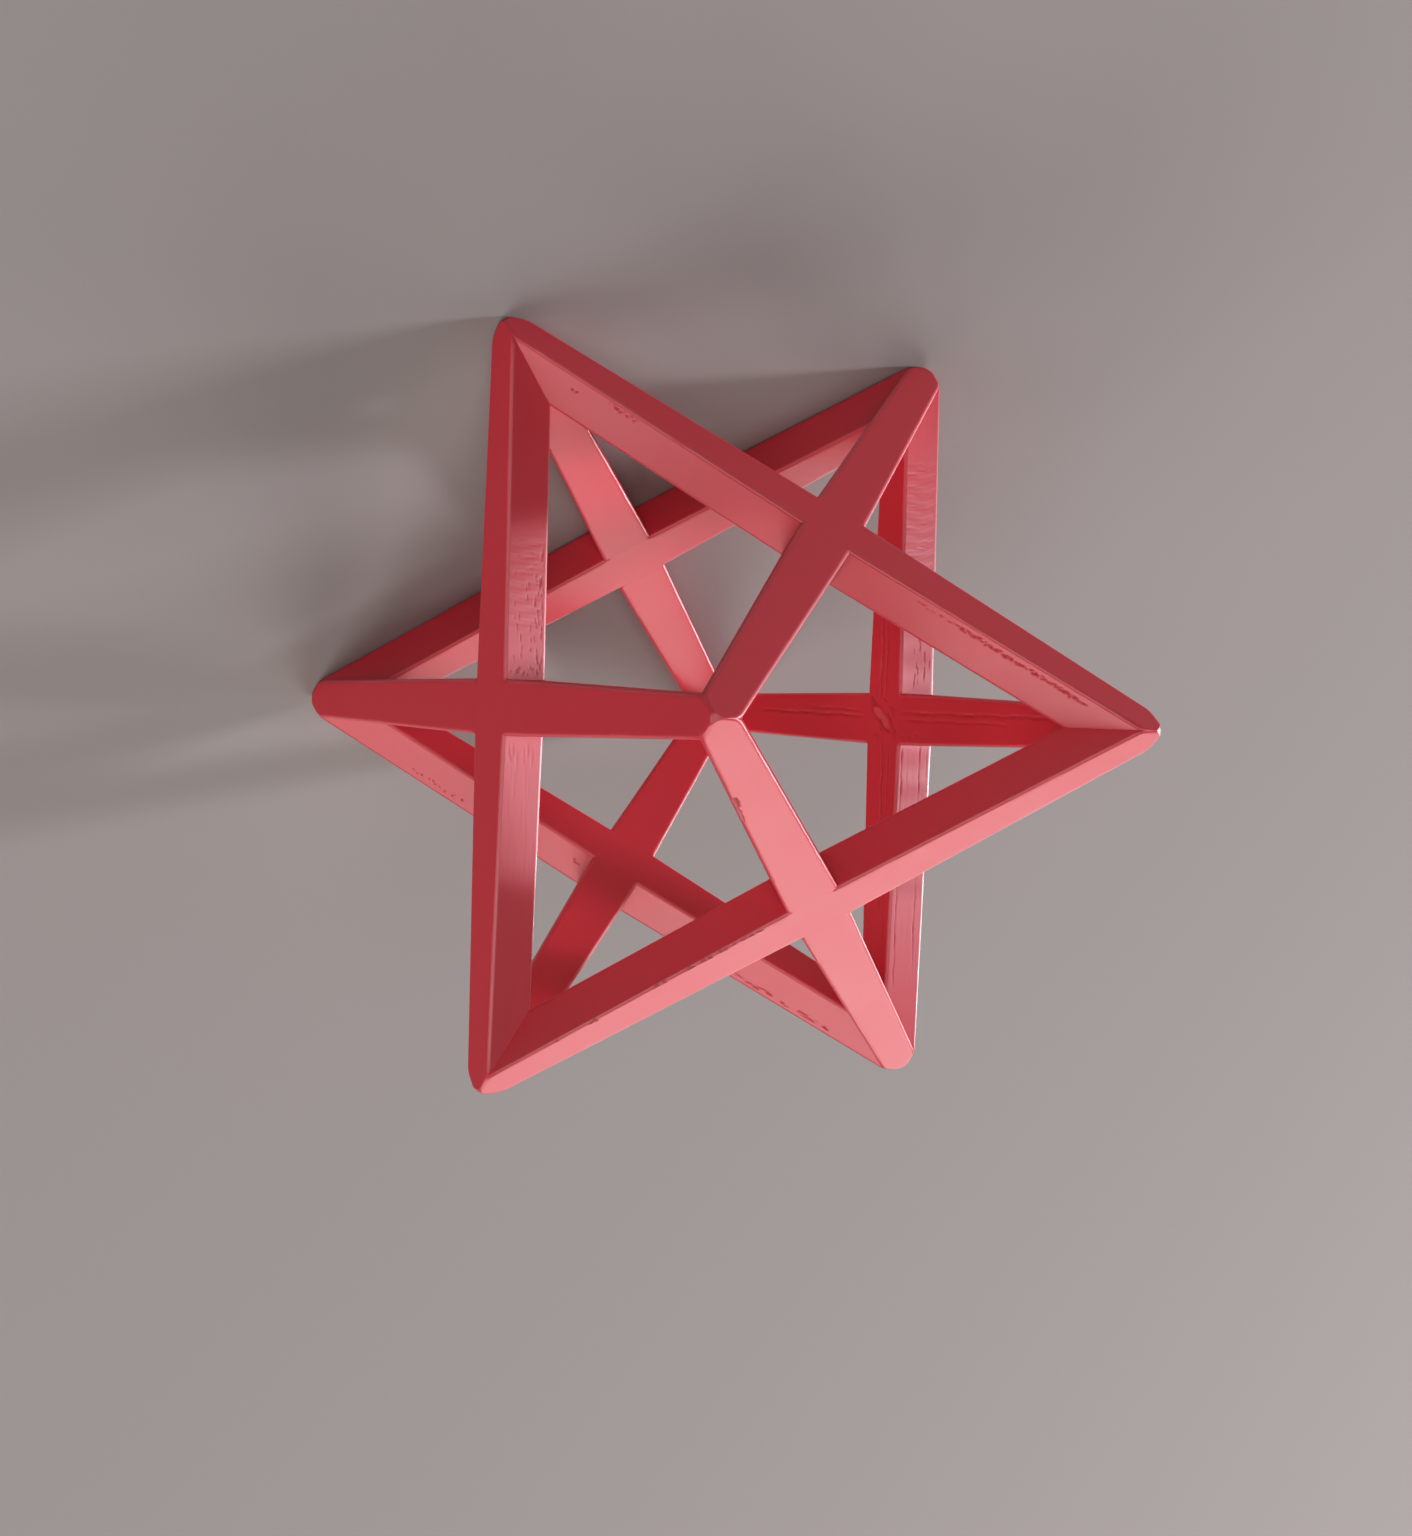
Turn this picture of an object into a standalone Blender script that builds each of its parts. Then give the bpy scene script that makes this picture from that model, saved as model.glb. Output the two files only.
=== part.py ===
"""Star polyhedron: two interlocked tetrahedra, built up from twelve plastic bars.

The eight tips are the corners of a cube and each bar runs along a diagonal of a cube face. The two bars of
a face cross in a half lap, and three bars meet in a mitre at every tip. The star stands on its bottom face,
with the origin at the crossing of the two bars there. Metres, +Z up.
"""

import math
from itertools import product

import bmesh
import bpy
from mathutils import Matrix, Vector

# Driving dimensions
CUBE_EDGE = 0.063  # edge of the cube whose corners are the tips
BAR_DEPTH = 0.0055  # from a bar's outer face to its inner face
BAR_WIDTH_CROSSING = 0.0066  # across a bar where the two bars of a face cross
BAR_WIDTH_TIP = 0.0046  # across a bar where it reaches a tip
TIP_RADIUS = 0.0008  # rounding of the tips
EDGE_RADIUS = 0.0003  # rounding of a bar's long edges
JOINT_GAP = 0.0003  # glue line between two bars in a lap or a mitre

# Fineness of the rounding
TIP_FACETS = 3
EDGE_FACETS = 2

# Plastic
CORAL = (0.60, 0.075, 0.085, 1.0)
ROUGHNESS = 0.42

# The cube's faces by their outward normals, with the front at -Y
FACES = {
    "bottom": Vector((0, 0, -1)),
    "top": Vector((0, 0, 1)),
    "front": Vector((0, -1, 0)),
    "back": Vector((0, 1, 0)),
    "left": Vector((-1, 0, 0)),
    "right": Vector((1, 0, 0)),
}
# Each tetrahedron owns the corners whose signs have this product
TETRAHEDRA = {"first_tetra": -1, "second_tetra": 1}

HALF_DIAGONAL = CUBE_EDGE / math.sqrt(2)  # from a crossing to a tip
LAP_DEPTH = (BAR_DEPTH + JOINT_GAP) / 2  # depth of each notch: half a bar and half a glue line
NOTCH_WIDTH = BAR_WIDTH_CROSSING + 2 * JOINT_GAP


def clear_scene():
    for obj in list(bpy.data.objects):
        bpy.data.objects.remove(obj, do_unlink=True)


def new_collection(name):
    collection = bpy.data.collections.new(name)
    bpy.context.scene.collection.children.link(collection)
    return collection


def plastic(name):
    """A satin coral plastic for one bar."""
    material = bpy.data.materials.new(name)
    material.use_nodes = True
    shader = material.node_tree.nodes["Principled BSDF"]
    shader.inputs["Base Color"].default_value = CORAL
    shader.inputs["Roughness"].default_value = ROUGHNESS
    shader.inputs["Metallic"].default_value = 0.0
    material.diffuse_color = CORAL
    return material


def mesh_from(bm, name):
    bmesh.ops.recalc_face_normals(bm, faces=bm.faces)
    mesh = bpy.data.meshes.new(name)
    bm.to_mesh(mesh)
    bm.free()
    return mesh


def box(size, centre):
    bm = bmesh.new()
    bmesh.ops.create_cube(bm, size=1.0)
    bmesh.ops.scale(bm, vec=size, verts=bm.verts)
    bmesh.ops.translate(bm, vec=centre, verts=bm.verts)
    return bm


def cut_away(bm, point, normal):
    """Cuts off what lies on the normal's side of a plane and closes the cut."""
    everything = bm.verts[:] + bm.edges[:] + bm.faces[:]
    bmesh.ops.bisect_plane(
        bm, geom=everything, dist=1e-7, plane_co=point, plane_no=normal, clear_outer=True
    )
    rim = [edge for edge in bm.edges if edge.is_boundary]
    if rim:
        bmesh.ops.holes_fill(bm, edges=rim)


def taper(bm):
    """Narrows the bar in straight lines from the crossing to its tips."""
    run = HALF_DIAGONAL - BAR_WIDTH_TIP / 2  # where the side edges meet the cube's edges
    narrowing = (BAR_WIDTH_CROSSING - BAR_WIDTH_TIP) / run
    for vert in bm.verts:
        half = (BAR_WIDTH_CROSSING - narrowing * abs(vert.co.x)) / 2
        vert.co.y = math.copysign(half, vert.co.y)


def shape_tip(bm, end):
    """Mitres one end of the bar and rounds the corner of the cube there.

    end is 1 or -1 along the bar. Each side of the tip lies on a cube edge, where the bar's neighbour takes
    over at 45 degrees.
    """
    tip = Vector((end * HALF_DIAGONAL, 0, 0))
    outward = Vector((0, 0, 1))
    neighbours = [Vector((end, side, 0)) / math.sqrt(2) for side in (-1, 1)]
    core = tip - TIP_RADIUS * (outward + neighbours[0] + neighbours[1])  # centre of the rounding
    for neighbour in neighbours:
        mitre = (neighbour - outward).normalized()
        cut_away(bm, tip - mitre * JOINT_GAP / 2, mitre)
        for step in range(1, TIP_FACETS + 1):
            angle = math.radians(45) * step / TIP_FACETS
            facet = outward * math.cos(angle) + neighbour * math.sin(angle)
            cut_away(bm, core + facet * TIP_RADIUS, facet)
    corner = (outward + neighbours[0] + neighbours[1]).normalized()
    cut_away(bm, core + corner * TIP_RADIUS, corner)


def bar_mesh():
    """One bar along X with its outer face on Z = 0, before its notch is cut."""
    bm = box((2 * HALF_DIAGONAL, BAR_WIDTH_CROSSING, BAR_DEPTH), (0, 0, -BAR_DEPTH / 2))
    everything = bm.verts[:] + bm.edges[:] + bm.faces[:]
    bmesh.ops.bisect_plane(bm, geom=everything, dist=1e-7, plane_co=(0, 0, 0), plane_no=(1, 0, 0))
    taper(bm)
    long_edges = [
        edge for edge in bm.edges if abs(edge.verts[0].co.x - edge.verts[1].co.x) > HALF_DIAGONAL / 2
    ]
    bmesh.ops.bevel(
        bm, geom=long_edges, offset=EDGE_RADIUS, segments=EDGE_FACETS, profile=0.5, affect="EDGES"
    )
    for end in (-1, 1):
        shape_tip(bm, end)
    return mesh_from(bm, "bar")


def notch_mesh(name, from_outside):
    """The notch that the crossing bar lies in, open through the outer or the inner face."""
    height = LAP_DEPTH + BAR_DEPTH  # reaches well past the face that it opens through
    top = BAR_DEPTH if from_outside else LAP_DEPTH - BAR_DEPTH
    return mesh_from(box((NOTCH_WIDTH, 2 * BAR_WIDTH_CROSSING, height), (0, 0, top - height / 2)), name)


def place_on_face(obj, outward, parity, parent):
    """Lays an object made along X and facing +Z on a cube face, along that tetrahedron's diagonal."""
    corners = [Vector(c) for c in product((-1, 1), repeat=3)]
    ends = [c for c in corners if c.dot(outward) > 0 and c.x * c.y * c.z * parity > 0]
    along = (ends[1] - ends[0]).normalized()
    turn = Matrix((along, outward.cross(along), outward)).transposed()
    obj.parent = parent
    obj.location = outward * CUBE_EDGE / 2
    obj.rotation_euler = turn.to_euler()


def build():
    clear_scene()
    parts = new_collection("star_polyhedron")
    cutters = new_collection("lap_cutters")
    centre = bpy.data.objects.new("star_centre", None)
    centre.location = (0, 0, CUBE_EDGE / 2)
    centre.empty_display_size = CUBE_EDGE / 4
    parts.objects.link(centre)

    bar = bar_mesh()
    bar.materials.append(None)
    # The first tetrahedron is notched from outside, so that the second can be laid over it.
    notches = {
        "first_tetra": notch_mesh("outer_notch", True),
        "second_tetra": notch_mesh("inner_notch", False),
    }
    for tetra, parity in TETRAHEDRA.items():
        for face, outward in FACES.items():
            name = f"{tetra}_{face}_bar"
            piece = bpy.data.objects.new(name, bar)
            parts.objects.link(piece)
            place_on_face(piece, outward, parity, centre)
            piece.material_slots[0].link = "OBJECT"
            piece.material_slots[0].material = plastic(f"{name}_plastic")

            cutter = bpy.data.objects.new(f"{name}_notch", notches[tetra])
            cutters.objects.link(cutter)
            cutter.hide_render = True
            cutter.display_type = "WIRE"
            place_on_face(cutter, outward, parity, centre)
            lap = piece.modifiers.new("Half lap", "BOOLEAN")
            lap.operation = "DIFFERENCE"
            lap.solver = "EXACT"
            lap.object = cutter


build()
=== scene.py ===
"""Star polyhedron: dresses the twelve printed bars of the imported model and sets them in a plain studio.

Each bar is modelled along X with its outer face on Z = 0, and is then laid on its face of the cube. Metres,
+Z up. The marks of the printing are given in millimetres.
"""

import logging
import math
from collections.abc import Callable, Iterator
from contextlib import contextmanager
from dataclasses import dataclass, field
from enum import Enum
from itertools import product
from typing import ClassVar

import bmesh
import bpy
import numpy as np
from mathutils import Matrix, Vector

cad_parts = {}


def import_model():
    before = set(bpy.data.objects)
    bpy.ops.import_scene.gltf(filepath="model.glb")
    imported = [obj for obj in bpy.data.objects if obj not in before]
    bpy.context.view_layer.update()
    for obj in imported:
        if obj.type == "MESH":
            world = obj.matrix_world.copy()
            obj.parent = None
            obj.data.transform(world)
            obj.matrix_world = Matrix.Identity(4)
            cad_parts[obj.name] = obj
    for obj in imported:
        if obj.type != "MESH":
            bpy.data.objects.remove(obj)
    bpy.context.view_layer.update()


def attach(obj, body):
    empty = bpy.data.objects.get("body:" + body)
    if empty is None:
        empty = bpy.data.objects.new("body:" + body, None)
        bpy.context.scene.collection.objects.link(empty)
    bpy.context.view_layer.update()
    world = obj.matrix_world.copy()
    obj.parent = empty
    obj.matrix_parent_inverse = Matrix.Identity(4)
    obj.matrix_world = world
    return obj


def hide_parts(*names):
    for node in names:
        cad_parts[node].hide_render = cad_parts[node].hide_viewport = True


LOG = logging.getLogger("star_polyhedron")
MM_PER_METRE = 1000
SAME_PLACE = 1e-6
CUT_TOLERANCE = 1e-7
EIGHTH_TURN = math.radians(45)
ALONG = Vector((1, 0, 0))
ACROSS = Vector((0, 1, 0))
OUTWARD = Vector((0, 0, 1))
Colour = tuple[float, float, float]
Span = tuple[float, float]


class Face(Enum):
    """A face of the cube that the star is inscribed in, by its outward normal."""

    BOTTOM = (0, 0, -1)
    TOP = (0, 0, 1)
    FRONT = (0, -1, 0)
    BACK = (0, 1, 0)
    LEFT = (-1, 0, 0)
    RIGHT = (1, 0, 0)

    @property
    def outward(self) -> Vector:
        """The face's outward normal."""
        return Vector(self.value)


class Tetra(Enum):
    """One of the two tetrahedra, by the product of the signs of the corners that it owns."""

    FIRST = -1
    SECOND = 1


class Bench:
    """Hand steps that act on one piece at a time."""

    @staticmethod
    def take_up(piece: bpy.types.Object) -> None:
        """Makes a piece the only selected one and the active one.

        Args:
            piece: The piece to take up.
        """
        bpy.ops.object.select_all(action="DESELECT")
        piece.select_set(True)
        bpy.context.view_layer.objects.active = piece

    @staticmethod
    @contextmanager
    def editing(piece: bpy.types.Object) -> Iterator[None]:
        """Holds a piece in edit mode.

        Args:
            piece: The piece to edit.

        Returns:
            A context in which the mesh operators act on the piece.
        """
        Bench.take_up(piece)
        bpy.ops.object.mode_set(mode="EDIT")
        yield
        bpy.ops.object.mode_set(mode="OBJECT")

    @staticmethod
    def box(name: str, size: Vector, centre: Vector) -> bpy.types.Object:
        """Adds a block at its size and place.

        Args:
            name: The new object's name.
            size: Its three sides.
            centre: Its middle.

        Returns:
            The block, with its place in its mesh.
        """
        bpy.ops.object.select_all(action="DESELECT")
        bpy.ops.mesh.primitive_cube_add(size=1.0, location=centre)
        block = bpy.context.active_object
        block.name = block.data.name = name
        block.scale = size
        bpy.ops.object.transform_apply(location=True, rotation=True, scale=True)
        return block

    @staticmethod
    def pick_edges(piece: bpy.types.Object, wanted: Callable[[Vector, Vector], bool]) -> None:
        """Selects the edges whose two ends pass a test, and nothing else.

        Args:
            piece: The piece in edit mode.
            wanted: The test, on the places of both ends.
        """
        bpy.ops.mesh.select_mode(type="EDGE")
        bpy.ops.mesh.select_all(action="DESELECT")
        shape = bmesh.from_edit_mesh(piece.data)
        for edge in shape.edges:
            edge.select_set(wanted(edge.verts[0].co, edge.verts[1].co))
        bmesh.update_edit_mesh(piece.data)

    @staticmethod
    def pick_points(piece: bpy.types.Object, wanted: Callable[[Vector], bool]) -> None:
        """Selects the points that pass a test, and nothing else.

        Args:
            piece: The piece in edit mode.
            wanted: The test, on a point's place.
        """
        bpy.ops.mesh.select_mode(type="VERT")
        bpy.ops.mesh.select_all(action="DESELECT")
        shape = bmesh.from_edit_mesh(piece.data)
        for vert in shape.verts:
            vert.select_set(wanted(vert.co))
        shape.select_flush(True)
        bmesh.update_edit_mesh(piece.data)

    @staticmethod
    def pick_faces(piece: bpy.types.Object, wanted: Callable[[Vector, Vector], bool]) -> None:
        """Selects the faces whose middle and normal pass a test, and nothing else.

        Args:
            piece: The piece in edit mode.
            wanted: The test, on a face's middle and normal.
        """
        bpy.ops.mesh.select_mode(type="FACE")
        bpy.ops.mesh.select_all(action="DESELECT")
        shape = bmesh.from_edit_mesh(piece.data)
        for face in shape.faces:
            face.select_set(wanted(face.calc_center_median(), face.normal))
        bmesh.update_edit_mesh(piece.data)

    @staticmethod
    def split(point: Vector, normal: Vector) -> None:
        """Cuts the edited mesh in two along a plane and keeps both sides."""
        bpy.ops.mesh.select_all(action="SELECT")
        bpy.ops.mesh.bisect(plane_co=point, plane_no=normal, threshold=CUT_TOLERANCE)

    @staticmethod
    def cut_off(point: Vector, normal: Vector) -> None:
        """Takes off what lies on the normal's side of a plane and closes the cut.

        Args:
            point: A place on the plane.
            normal: The plane's normal.
        """
        bpy.ops.mesh.select_all(action="SELECT")
        bpy.ops.mesh.bisect(
            plane_co=point, plane_no=normal, use_fill=True, clear_outer=True, threshold=CUT_TOLERANCE
        )

    @staticmethod
    def apply(piece: bpy.types.Object, modifier: bpy.types.Modifier) -> None:
        """Applies a modifier to its piece."""
        Bench.take_up(piece)
        bpy.ops.object.modifier_apply(modifier=modifier.name)

    @staticmethod
    def take_away(piece: bpy.types.Object, cutter: bpy.types.Object) -> None:
        """Cuts a cutter's shape out of a piece and removes the cutter.

        Args:
            piece: The piece to cut.
            cutter: A closed shape at its place.
        """
        cut = piece.modifiers.new("Cut", "BOOLEAN")
        cut.operation = "DIFFERENCE"
        cut.solver = "EXACT"
        cut.object = cutter
        Bench.apply(piece, cut)
        bpy.data.objects.remove(cutter, do_unlink=True)


@dataclass(frozen=True)
class BarSizes:
    """The sizes that all the bars share."""

    cube_edge: float = 0.063
    depth: float = 0.0055
    width_crossing: float = 0.0066
    width_tip: float = 0.0046
    tip_radius: float = 0.0019
    tip_facets: int = 8
    tip_edge_radius: float = 0.00022
    tip_edge_facets: int = 2
    shoulder_radius: float = 0.0026
    shoulder_facets: int = 6
    edge_radius: float = 0.00042
    edge_facets: int = 4
    rim_slopes: Span = (0.15, 0.985)
    # At the tips the rim mask, which carries the edges' wear and their painted highlight, falls to this
    # share.
    tip_wear_and_highlight: float = 0.4
    tip_wear_and_highlight_reach: float = 0.006
    seam: float = 0.00001
    mesh_step: float = 0.0005

    @property
    def half_length(self) -> float:
        """From the crossing to a tip."""
        return self.cube_edge / math.sqrt(2)

    @property
    def narrowing(self) -> float:
        """How much width a bar loses on each metre towards its tip."""
        return (self.width_crossing - self.width_tip) / (self.half_length - self.width_tip / 2)

    @property
    def crossing_corner(self) -> float:
        """Along the bar, where its edge meets the edge of the bar that crosses it."""
        return self.width_crossing / (2 + self.narrowing)

    def width_at(self, along: float) -> float:
        """The bar's width at a place along it."""
        return self.width_crossing - self.narrowing * abs(along)


@dataclass
class BarForm:
    """The common form of one tetrahedron's bars, which is modelled once and copied."""

    tetra: Tetra
    sizes: BarSizes = field(default_factory=BarSizes)

    def build(self) -> bpy.types.Object:
        """Models the bar.

        Returns:
            A closed bar along X with its outer face on Z = 0.
        """
        s = self.sizes
        bar = Bench.box(
            f"{self.tetra.name.lower()}_form",
            Vector((2 * s.half_length, s.width_crossing, s.depth)),
            Vector((0, 0, -s.depth / 2)),
        )
        with Bench.editing(bar):
            self._taper(bar)
            self._round_long_edges(bar)
            for end in (-1, 1):
                self._shape_tip(end)
        self._notch(bar)
        with Bench.editing(bar):
            self._grid()
            bpy.ops.mesh.select_all(action="SELECT")
            bpy.ops.mesh.normals_make_consistent(inside=False)
        self._mark_rims(bar)
        return bar

    def _taper(self, bar: bpy.types.Object) -> None:
        """Narrows the bar from the crossing to its tips.

        Args:
            bar: The block in edit mode.
        """
        s = self.sizes
        for station in (0.0, s.crossing_corner, -s.crossing_corner):
            Bench.split(ALONG * station, ALONG)
        for station in (s.crossing_corner, s.half_length):
            Bench.pick_points(bar, lambda co, at=station: abs(abs(co.x) - at) < SAME_PLACE)
            share = s.width_at(station) / s.width_crossing
            bpy.ops.transform.resize(value=(1, share, 1), center_override=(0, 0, 0))

    def _round_long_edges(self, bar: bpy.types.Object) -> None:
        """Rounds the long edges where they are free, clear of the crossing.

        Args:
            bar: The tapered block in edit mode.
        """
        s = self.sizes
        Bench.pick_edges(
            bar,
            lambda a, b: abs(a.x - b.x) > s.half_length / 2
            and min(abs(a.x), abs(b.x)) > s.crossing_corner / 2,
        )
        bpy.ops.mesh.bevel(
            offset=s.edge_radius, segments=s.edge_facets, profile=0.5, affect="EDGES", clamp_overlap=False
        )

    def _shape_tip(self, end: int) -> None:
        """Mitres one end of the bar and rounds its outline and its edges there.

        Args:
            end: 1 or -1, along the bar.
        """
        s = self.sizes
        tip = Vector((end * s.half_length, 0, 0))
        beside = [Vector((end, side, 0)) / math.sqrt(2) for side in (-1, 1)]
        for neighbour in beside:
            Bench.cut_off(tip, (neighbour - OUTWARD).normalized())
            core = tip - (OUTWARD + neighbour) * s.tip_edge_radius
            for step in range(1, s.tip_edge_facets + 1):
                facet = OUTWARD.slerp(neighbour, step / (2 * s.tip_edge_facets))
                Bench.cut_off(core + facet * s.tip_edge_radius, facet)
            self._ease_shoulder(tip, neighbour)
        for near, far, facets in ((*beside, s.tip_facets), (*beside[::-1], s.tip_facets - 1)):
            for step in range(1, facets + 1):
                angle = EIGHTH_TURN * step / s.tip_facets
                sine, cosine = math.sin(angle), math.cos(angle)
                on_outline = tip - ((1 - sine) * far + (1 - cosine) * near) * s.tip_radius
                Bench.cut_off(on_outline, (sine * far + cosine * (near + OUTWARD)).normalized())

    def _ease_shoulder(self, tip: Vector, neighbour: Vector) -> None:
        """Rounds the corner where a long edge of the bar turns into the side of its tip.

        Args:
            tip: The corner of the cube at this end.
            neighbour: The outward normal of the face that the bar is mitred against there.
        """
        s = self.sizes
        side = Vector((0, math.copysign(1, neighbour.y), 0))
        at = Vector((tip.x - math.copysign(s.width_tip / 2, tip.x), side.y * s.width_tip / 2, 0))
        core = at - (side + neighbour).normalized() * s.shoulder_radius / math.cos(EIGHTH_TURN / 2)
        for step in range(1, s.shoulder_facets + 1):
            share = step / (s.shoulder_facets + 1)
            wall = side.slerp(neighbour, share)
            Bench.cut_off(core + wall * s.shoulder_radius, wall)
            inside = core + wall * (s.shoulder_radius - s.edge_radius) - OUTWARD * s.edge_radius
            for turn in range(1, s.edge_facets):
                facet = wall.slerp(OUTWARD, turn / s.edge_facets)
                Bench.cut_off(inside + facet * s.edge_radius, facet)

    def _notch(self, bar: bpy.types.Object) -> None:
        """Cuts the notch that the crossing bar lies in, half the bar's depth and shaped to that bar's taper.

        Args:
            bar: The bar with both its tips.
        """
        s = self.sizes
        level = 0.0 if self.tetra is Tetra.FIRST else -s.depth
        reach = s.width_crossing
        cutter = Bench.box(
            "notch_cutter", Vector((s.width_crossing, 2 * reach, s.depth)), Vector((0, 0, level))
        )
        with Bench.editing(cutter):
            Bench.split(Vector((0, 0, 0)), ACROSS)
            for station in (0.0, reach):
                Bench.pick_points(cutter, lambda co, at=station: abs(abs(co.y) - at) < SAME_PLACE)
                share = (s.width_at(station) + 2 * s.seam) / s.width_crossing
                bpy.ops.transform.resize(value=(share, 1, 1), center_override=(0, 0, 0))
        Bench.take_away(bar, cutter)

    def _grid(self) -> None:
        """Divides the flat faces into a grid that is fine enough to take dents and ripples."""
        s = self.sizes
        for axis, low, high in (
            (ALONG, -s.half_length, s.half_length),
            (ACROSS, -s.width_crossing / 2, s.width_crossing / 2),
            (OUTWARD, -s.depth, 0.0),
        ):
            count = round((high - low) / s.mesh_step)
            for step in range(1, count):
                Bench.split(axis * (low + (high - low) * step / count), axis)

    def _mark_rims(self, bar: bpy.types.Object) -> None:
        """Keeps the rim mask of the rounded edges on their points: 1, and less at the tips. It drives their
        wear and their painted highlight.

        Args:
            bar: The whole bar.
        """
        s = self.sizes
        flat: set[int] = set()
        for polygon in bar.data.polygons:
            if not s.rim_slopes[0] < abs(polygon.normal.z) < s.rim_slopes[1]:
                flat.update(polygon.vertices)
        layer = bar.data.attributes.new("rim", "FLOAT", "POINT")
        for vert in bar.data.vertices:
            if vert.index not in flat:
                from_tip = s.half_length - abs(vert.co.x)
                layer.data[vert.index].value = min(1.0, max(s.tip_wear_and_highlight, from_tip / s.tip_wear_and_highlight_reach))


class Curves:
    """The curves that the marks of the printing are drawn with."""

    @staticmethod
    def bowl(off: np.ndarray, half: float, fullness: float) -> np.ndarray:
        """A rounded hollow that is 1 at its middle and 0 from its rim outwards, flatter the fuller it is."""
        return np.clip(fullness * (1 - (off / half) ** 2), 0, 1)

    @staticmethod
    def wave(
        place: np.ndarray,
        size: float,
        pace: float = 1.0,
        start: float | np.ndarray = 0.0,
        level: float = 0.0,
    ) -> np.ndarray:
        """A sine of a given size and pace, from a given start, about a given level."""
        return level + size * np.sin(place * pace + start)

    @staticmethod
    def middle_and_half(span: Span) -> Span:
        """The middle of a stretch and half its length."""
        return (span[0] + span[1]) / 2, (span[1] - span[0]) / 2

    @staticmethod
    def turned(along: np.ndarray, across: np.ndarray, turn: float) -> tuple[np.ndarray, np.ndarray]:
        """Places along and off a line that is turned by an angle, from the places along and across a bar."""
        sine, cosine = math.sin(turn), math.cos(turn)
        return along * cosine + across * sine, across * cosine - along * sine


class Skin(Enum):
    """A face of a bar on the bench, by the direction in which it looks."""

    PLUS_SIDE = (0, 1, 0)
    MINUS_SIDE = (0, -1, 0)
    INSIDE = (0, 0, -1)
    OUTSIDE = (0, 0, 1)

    def across(self, place: Vector) -> float:
        """Where a point lies across this face: from the outer edge on a side, from the middle elsewhere."""
        return place.y if self in (Skin.INSIDE, Skin.OUTSIDE) else place.z


@dataclass(frozen=True)
class Scores:
    """A scatter of short scores, as a support leaves where it was broken off. Millimetres and degrees."""

    WIDTH_SHARES: ClassVar[Span] = (0.7, 1.4)
    DEPTH_SHARES: ClassVar[Span] = (0.6, 1.0)
    WAVER: ClassVar[float] = 0.25
    along: Span
    across: Span
    count: int
    length: Span
    width: float = 0.20
    depth: float = 0.07
    tilt: float = 0.0
    spread: float = 8.0
    seed: int = 1
    shade: float = 0.8

    def relief(self, along: np.ndarray, across: np.ndarray) -> np.ndarray:
        """How deep the scores are at each point.

        Args:
            along: Where the points lie along the bar.
            across: Where they lie across the face.

        Returns:
            Depths in millimetres.
        """
        chance = np.random.default_rng(self.seed)
        deep = np.zeros_like(along)
        for number in range(self.count):
            share = (number + chance.uniform()) / self.count
            middle = self.along[0] + share * (self.along[1] - self.along[0])
            level = chance.uniform(*self.across)
            half = chance.uniform(*self.length) / 2
            wide = self.width * chance.uniform(*self.WIDTH_SHARES) / 2
            turn = math.radians(self.tilt + chance.normal() * self.spread)
            run, off = Curves.turned(along - middle, across - level, turn)
            off = off + Curves.wave(run / half, size=wide * self.WAVER, pace=2.3, start=number)
            ends = Curves.bowl(run, half, fullness=1.3)
            score = ends * Curves.bowl(off, wide, fullness=1.4) * chance.uniform(*self.DEPTH_SHARES)
            deep = np.maximum(deep, score)
        return deep * self.depth


@dataclass(frozen=True)
class Furrow:
    """One long line along a bar, thin and deep or broad and faint. Millimetres."""

    along: Span
    across: float
    width: float = 0.22
    depth: float = 0.10
    drift: float = 0.0
    shade: float = 0.35

    def relief(self, along: np.ndarray, across: np.ndarray) -> np.ndarray:
        """How deep the line is at each point.

        Args:
            along: Where the points lie along the bar.
            across: Where they lie across the face.

        Returns:
            Depths in millimetres.
        """
        middle, half = Curves.middle_and_half(self.along)
        sway = Curves.wave(along, size=0.05, pace=0.9) + Curves.wave(along, size=0.03, pace=2.3, start=1)
        off = across - self.across - self.drift * (along - middle) - sway
        ends = Curves.bowl(along - middle, half, fullness=3)
        breaks = Curves.wave(along, level=0.75, size=0.25, pace=1.5, start=self.across * 9)
        return self.depth * ends * breaks * Curves.bowl(off, self.width / 2, fullness=1.4)


@dataclass(frozen=True)
class Ripples:
    """Uneven bands across a bar, where the head slowed down. Millimetres."""

    along: Span
    period: float = 1.4
    depth: float = 0.04
    shift: float = 0.0
    shade: float = 0.0

    def relief(self, along: np.ndarray, across: np.ndarray) -> np.ndarray:
        """How deep the bands are at each point.

        Args:
            along: Where the points lie along the bar.
            across: Where they lie across the face.

        Returns:
            Depths in millimetres.
        """
        phase = along / self.period * math.tau + self.shift
        phase = phase + Curves.wave(across, size=0.9, pace=1.1, start=self.shift)
        phase = phase + Curves.wave(along, size=0.8, pace=0.52, start=across * 0.5)
        band = Curves.wave(phase, level=0.5, size=0.35)
        band = band + Curves.wave(phase, size=0.15, pace=2.7, start=across * 2.5)
        middle, half = Curves.middle_and_half(self.along)
        return self.depth * band * Curves.bowl(along - middle, half, fullness=2.5)


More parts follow.
